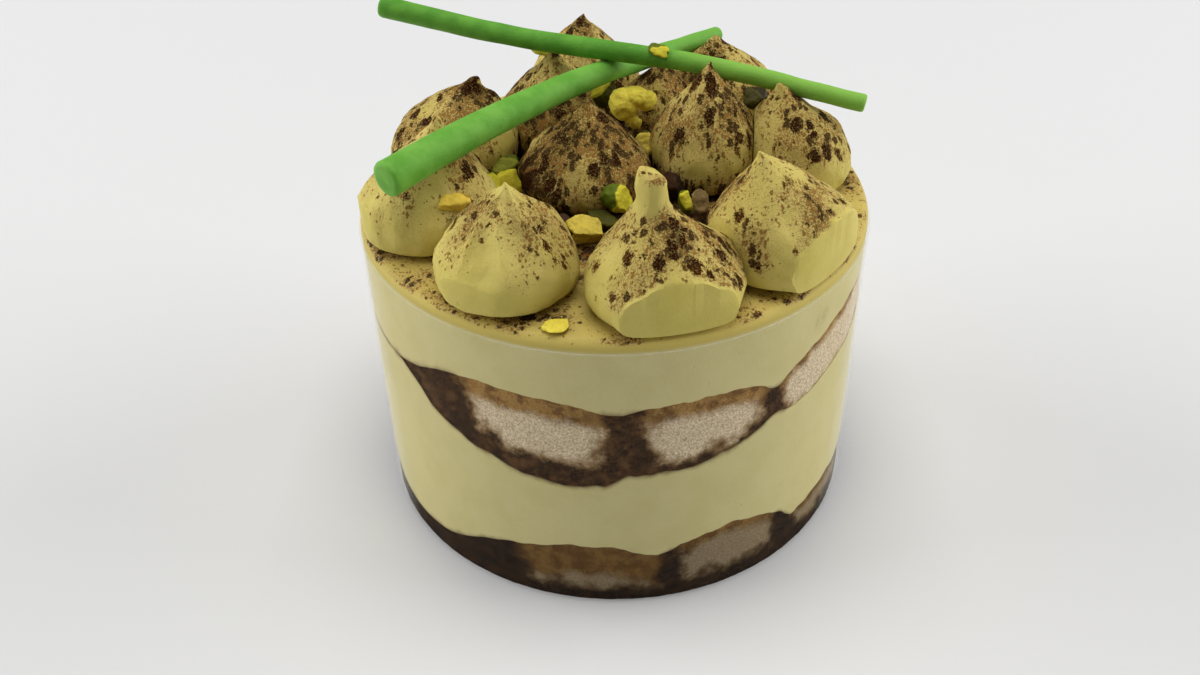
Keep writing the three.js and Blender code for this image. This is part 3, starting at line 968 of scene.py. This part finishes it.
def spreadCream(floorOf, roofOf, shoulder, neighbours):
    # A ball's top rings become the roof, its middle rings the wall and its lowest rings the underside.
    deselectAll()
    bpy.ops.mesh.primitive_uv_sphere_add(segments=layers["around"], ring_count=layers["rings"], radius=1)
    piece = bpy.context.object
    stain = piece.data.attributes.new("stain", "FLOAT", "POINT")
    cap = layers["capShare"]
    wide = cake["radius"]
    above, below = neighbours
    for index, vertex in enumerate(piece.data.vertices):
        share = math.acos(min(max(vertex.co.z, -1), 1)) / math.pi
        around = math.atan2(vertex.co.y, vertex.co.x)
        if share <= cap:
            radius = (wide - shoulder) * share / cap
        elif share >= 1 - cap:
            radius = wide * (1 - share) / cap
        else:
            radius = wide
        x, y = radius * math.cos(around), radius * math.sin(around)
        low, high = floorOf(x, y), roofOf(x, y)
        down = min(max((share - cap) / (1 - 2 * cap), 0), 1)
        down = (1 - math.cos(math.pi * down)) / 2
        height = high + (low - high) * down
        if shoulder and share > cap and high - height < shoulder:
            drop = (high - height) / shoulder
            radius = wide - shoulder * (1 - math.sqrt(max(1 - (1 - drop) ** 2, 0)))
            x, y = radius * math.cos(around), radius * math.sin(around)
        depth = 0.0
        if above:
            depth += stainAt(above, x, y, True) * math.exp(-(high - height) / layers["stainReach"])
        if below:
            depth += stainAt(below, x, y, False) * math.exp(-(height - low) / layers["stainReach"])
        stain.data[index].value = depth + smearAt(around, height)
        vertex.co = Vector((x, y, height)) * mm
    piece.data.update()
    return piece


def makeLayers(material):
    lower = spreadCream(faceOf(baseTurn, 1), faceOf(middleTurn, 0), 0, (middleTurn, baseTurn))
    finishPiece(lower, "cream_lower_spread", ["cream_lower"], material, 50)
    flat = lambda x, y: cake["top"]
    upper = spreadCream(faceOf(middleTurn, 1), flat, layers["shoulder"], (None, middleTurn))
    finishPiece(upper, "cream_upper_spread", ["cream_upper"], material, 50)


def copyNode(node, name):
    # The frame's solid, with its corners merged.
    piece = bpy.data.objects.new(name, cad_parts[node].data.copy())
    bpy.context.scene.collection.objects.link(piece)
    editAll(piece)
    bpy.ops.mesh.remove_doubles(threshold=0.000002)
    leaveEditing()
    return piece


# Chopped pistachio. Each piece keeps the frame's solid, gets flat cuts where the knife went
# (direction and share of the way out), and shows flesh at the cuts and skin elsewhere. Where no
# colours are given, they are lime and leaf green.
yellow = srgb(246, 226, 84)
gold = srgb(214, 190, 76)
lime = srgb(214, 202, 54)
leaf = srgb(96, 112, 24)
olive = srgb(78, 76, 16)
umber = srgb(62, 36, 16)
nuts = [
    {"node": "pistachio_whole", "flesh": yellow, "skin": lime, "cuts": []},
    {
        "node": "pistachio_under", "flesh": gold, "skin": olive,
        "cuts": [((-0.3, -0.8, 0.5), 0.45), ((0.9, 0, 0.1), 0.5), ((-0.7, 0, -0.6), 0.55)],
    },
    {"node": "pistachio_behind", "flesh": lime, "skin": olive, "cuts": [((-0.4, -0.3, 0.8), 0.7)]},
    {"node": "pistachio_green", "cuts": [((0.85, -0.4, 0.3), 0.35), ((0.2, -0.7, -0.5), 0.7)]},
    {
        "node": "pistachio_front", "flesh": gold, "skin": umber,
        "cuts": [((0.45, -0.35, 0.8), 0.2), ((0.3, -0.85, -0.45), 0.35)],
    },
    {"node": "pistachio_brown", "flesh": umber, "skin": umber, "cuts": [((0, -0.5, 0.8), 0.6)]},
    {"node": "pistachio_dark", "flesh": olive, "skin": srgb(48, 50, 10), "cuts": [((0, -0.3, 0.95), 0.45)]},
    {
        "node": "pistachio_shell", "flesh": umber, "skin": srgb(44, 26, 16),
        "cuts": [((-0.5, -0.6, 0.6), 0.5)],
    },
    {"node": "pistachio_stem", "cuts": [((0.5, -0.7, 0.5), 0.6)]},
    {
        "node": "pistachio_skin", "flesh": srgb(140, 116, 72), "skin": srgb(104, 82, 50),
        "cuts": [((0.2, -0.8, 0.5), 0.1)],
    },
    {
        "node": "pistachio_left", "flesh": srgb(224, 192, 72), "skin": srgb(172, 138, 46),
        "cuts": [((0, -0.35, 0.95), 0.4), ((0.1, -0.95, -0.2), 0.6), ((-0.9, 0, 0.2), 0.75)],
    },
    {
        "node": "pistachio_corner", "flesh": srgb(234, 216, 58), "skin": srgb(212, 200, 50),
        "cuts": [((0.3, -0.6, 0.7), 0.6), ((-0.8, -0.3, 0.2), 0.7)],
    },
    {"node": "pistachio_leaning", "cuts": [((0.8, -0.4, 0.4), 0.6)]},
    {
        "node": "pistachio_floor", "flesh": srgb(132, 134, 40), "skin": srgb(84, 92, 26),
        "cuts": [((-0.2, -0.5, 0.8), 0.7)],
    },
    {
        "node": "pistachio_right", "flesh": srgb(74, 70, 32), "skin": srgb(48, 42, 22),
        "cuts": [((-0.6, -0.5, 0.6), 0.6)],
    },
    {
        "node": "pistachio_rim", "flesh": yellow, "skin": lime,
        "cuts": [((0.1, 0, 1), 0.5), ((0.8, -0.6, 0), 0.7), ((-0.7, -0.7, 0), 0.75)],
    },
    {"node": "pistachio_tucked", "cuts": [((-0.3, -0.7, 0.6), 0.5)]},
    {"node": "pistachio_on_stick", "cuts": [((0.2, -0.7, 0.7), 0.5)]},
]
nutForm = {
    "voxel": 0.18,
    "soften": 3,
    "dents": [(1.5, 0.26), (0.55, 0.1)],  # size and depth
    "cutDepth": 0.55,
    "kernelCut": 0.75,
    "fleck": srgb(108, 90, 16),
    "finish": {"Roughness": 0.5, "Specular IOR Level": 0.12},
}

# The curled half kernel is built up of lobes: place from its middle, half sizes and turn about Y.
kernelLobes = [
    ((-1.5, 0, 0.6), (2.7, 2.7, 3.0), -20),
    ((0.5, 0.2, 2.0), (2.6, 2.3, 1.7), 10),
    ((2.7, 0.3, 1.0), (1.6, 1.9, 2.0), 25),
    ((-0.1, -0.8, -2.0), (1.1, 1.2, 1.9), -25),
    ((1.0, -0.9, -2.9), (0.7, 0.8, 1.0), 30),
]


def growKernel(node):
    low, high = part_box(node)
    centre = (low + high) / 2
    lobes = []
    for place, half, turn in kernelLobes:
        deselectAll()
        bpy.ops.mesh.primitive_uv_sphere_add(
            segments=32, ring_count=20, radius=mm, scale=half, location=centre + Vector(place) * mm,
            rotation=(0, math.radians(turn), 0),
        )
        lobes.append(bpy.context.object)
        settleInPlace(bpy.context.object)
    deselectAll()
    for lobe in lobes:
        lobe.select_set(True)
    bpy.context.view_layer.objects.active = lobes[0]
    bpy.ops.object.join()
    return bpy.context.object


def chopNut(spec):
    node = spec["node"]
    if node == "pistachio_whole":
        return growKernel(node), []
    piece = copyNode(node, node + "_chopped")
    low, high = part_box(node)
    centre = (low + high) / 2
    planes = []
    for direction, share in spec["cuts"]:
        normal = Vector(direction).normalized()
        reach = max((vertex.co - centre).dot(normal) for vertex in piece.data.vertices)
        planes.append((centre + normal * reach * share, normal))
        sliceOff(piece, *planes[-1])
    return piece, planes


def makeNutGroup():
    tree, w, given, out = newGroup(
        "nutSurface", {"Flesh": white, "Skin": white, "Cut": 0.5}, {"Color": white, "Height": 0.0}
    )
    place = w.here()
    broad = w.noise(place, 420.0, 3.0, 0.6)
    fine = w.noise(place, 2400.0, 4.0, 0.65)
    edge = w.plus(given["Cut"], w.times(w.minus(broad, 0.5), 1.3))
    tone = w.blend(w.ramp(edge, 0.25, 0.6), given["Skin"], given["Flesh"])
    shaded = w.blend(w.ramp(broad, 0.5, 0.75, 0.0, 0.25), tone, given["Skin"])
    w.feed(out["Color"], w.blend(w.ramp(fine, 0.5, 0.78, 0.0, 0.35), shaded, nutForm["fleck"]))
    w.feed(out["Height"], w.plus(fine, w.times(broad, 1.5)))
    return tree


def makeNuts():
    group = makeNutGroup()
    for index, spec in enumerate(nuts):
        piece, planes = chopNut(spec)
        applyModifier(piece, "REMESH", mode="VOXEL", voxel_size=nutForm["voxel"] * mm)
        applyModifier(piece, "SMOOTH", factor=0.5, iterations=nutForm["soften"])

        def place(point, seed=index * 2.1):
            return point + sum((cloudShift(point, *dent, seed) for dent in nutForm["dents"]), Vector())

        def onCut(point, normal, planes=planes):
            away = [abs((point - where).dot(facing)) / mm for where, facing in planes]
            return 1 - min(away) / nutForm["cutDepth"] if away else nutForm["kernelCut"]

        moveVertices(piece, place)
        storeShare(piece, "cut", onCut)
        material, w, sockets = newMaterial(spec["node"].replace("pistachio", "nut"), nutForm["finish"])
        flesh, skin = spec.get("flesh", lime), spec.get("skin", leaf)
        surface = w.group(group, Flesh=flesh, Skin=skin, Cut=w.share("cut"))
        w.feed(sockets["Base Color"], surface["Color"])
        w.feed(sockets["Normal"], w.bump(surface["Height"], 0.6, 0.22))
        finishPiece(piece, spec["node"] + "_chopped", [spec["node"]], material, 45)


# The clear film is one strip, wound once round and lapped over its own end.
film = {
    "inner": 45.2,
    "thick": 0.2,
    "low": 0.6,
    "high": 56,
    "lap": 16,
    "lapAzimuth": 150,
    "lapStep": 0.6,
    "steps": 300,
    "rows": 24,
    "ripple": 0.1,
    "finish": {"Roughness": 0.08, "IOR": 1.45, "Base Color": srgb(240, 240, 232)},
    "clear": 0.006,
    "edgeOnReflection": 0.6,
    "cutEdge": 0.1,
}


def makeFilmMaterial():
    # The film turns whitish where it is seen edge on, a painted reflection, and shows at its cut upper edge.
    material, w, sockets = newMaterial("clearFilm", film["finish"])
    facing = w.add("ShaderNodeLayerWeight", {"Blend": 0.25}).outputs["Facing"]
    edgeOnReflection = w.ramp(facing, 0.45, 1.0, film["clear"], film["edgeOnReflection"])
    high = film["high"]
    cutEdge = w.ramp(w.part("Z"), (high - 0.35) * mm, (high - 0.05) * mm, 0.0, film["cutEdge"])
    w.feed(sockets["Alpha"], w.plus(edgeOnReflection, cutEdge, clamp=True))
    return material


def windFilm(material):
    # A fine grid is laid round the cake, its last stretch outside its first, and given a thickness.
    deselectAll()
    bpy.ops.mesh.primitive_grid_add(x_subdivisions=film["steps"], y_subdivisions=film["rows"], size=2)
    strip = bpy.context.object
    sweep = 360 + film["lap"]

    def place(point):
        share = (point.x + 1) / 2
        angle = math.radians(film["lapAzimuth"] + share * sweep)
        height = film["low"] + (film["high"] - film["low"]) * (point.y + 1) / 2
        step = film["lapStep"] * smoothStep(1 - 1.8 * film["lap"] / sweep, 1 - film["lap"] / sweep, share)
        wave = 0.5 + 0.5 * noise.noise(Vector((math.cos(angle) * 2.4, math.sin(angle) * 2.4, height / 45)))
        radius = film["inner"] + step + film["ripple"] * wave
        return Vector((radius * math.cos(angle), radius * math.sin(angle), height)) * mm

    moveVertices(strip, place)
    applyModifier(strip, "SOLIDIFY", thickness=film["thick"] * mm, offset=1.0)
    finishPiece(strip, "film_wound", ["film_collar"], material, 60)


def makeFloor():
    deselectAll()
    bpy.ops.mesh.primitive_plane_add(size=8, location=(0, 0, 0))
    floor = bpy.context.object
    floor.name = "paleFloor"
    finish = {"Roughness": 0.9, "Base Color": srgb(221, 221, 221), "Specular IOR Level": 0.1}
    floor.data.materials.append(newMaterial("paleFloor", finish)[0])


# Studio light: two soft boxes at the sides, one overhead and a pale room, in metres and watts.
studio = {
    "room": 0.12,
    "aim": (0, 0, 0.04),
    "lamps": [
        {"at": (-1.35, 0.2, 0.6), "size": (1.2, 1.0), "power": 14.4},
        {"at": (1.35, 0.2, 0.6), "size": (1.2, 1.0), "power": 14.5},
        {"at": (0.0, 0.1, 1.6), "size": (1.2, 1.2), "power": 17},
    ],
}
bpy.context.scene.view_settings.view_transform = "Standard"

# The camera that took the photograph: place in millimetres, turns in degrees.
view = {"at": (0, -187.9, 168.6), "tilt": 52.53, "roll": -0.86, "lens": 36.267, "shift": -0.0134}


def lightScene():
    world = bpy.data.worlds.new("studioRoom")
    world.use_nodes = True
    backdrop = world.node_tree.nodes["Background"]
    backdrop.inputs["Color"].default_value = white
    backdrop.inputs["Strength"].default_value = studio["room"]
    bpy.context.scene.world = world
    for index, lamp in enumerate(studio["lamps"]):
        data = bpy.data.lights.new(f"softBox{index}", "AREA")
        data.shape = "RECTANGLE"
        data.size, data.size_y = lamp["size"]
        data.energy = lamp["power"]
        box = bpy.data.objects.new(f"softBox{index}", data)
        box.location = lamp["at"]
        toward = Vector(studio["aim"]) - Vector(lamp["at"])
        box.rotation_euler = toward.to_track_quat("-Z", "Y").to_euler()
        bpy.context.scene.collection.objects.link(box)


def placeCamera():
    data = bpy.data.cameras.new("photoCamera")
    data.lens = view["lens"]
    data.sensor_width = 36
    data.shift_x = view["shift"]
    data.clip_start = 0.01
    camera = bpy.data.objects.new("photoCamera", data)
    tilt = Matrix.Rotation(math.radians(view["tilt"]), 4, "X")
    roll = Matrix.Rotation(math.radians(view["roll"]), 4, "Z")
    camera.matrix_world = Matrix.Translation(Vector(view["at"]) * mm) @ tilt @ roll
    bpy.context.scene.collection.objects.link(camera)
    bpy.context.scene.camera = camera


print("stage and camera")
makeFloor()
lightScene()
placeCamera()
print("sponge and cream layers")
makeSponge(makeSpongeMaterial())
makeLayers(makeLayerMaterial())
print("sticks")
makeSticks()
print("kisses")
grooves = [rollStick(spec, grow=kissForm["gap"]) for spec in sticks]
makeKisses(makeKissMaterial(), grooves)
for groove in grooves:
    dropTool(groove)
print("pistachios")
makeNuts()
print("film")
windFilm(makeFilmMaterial())
deselectAll()
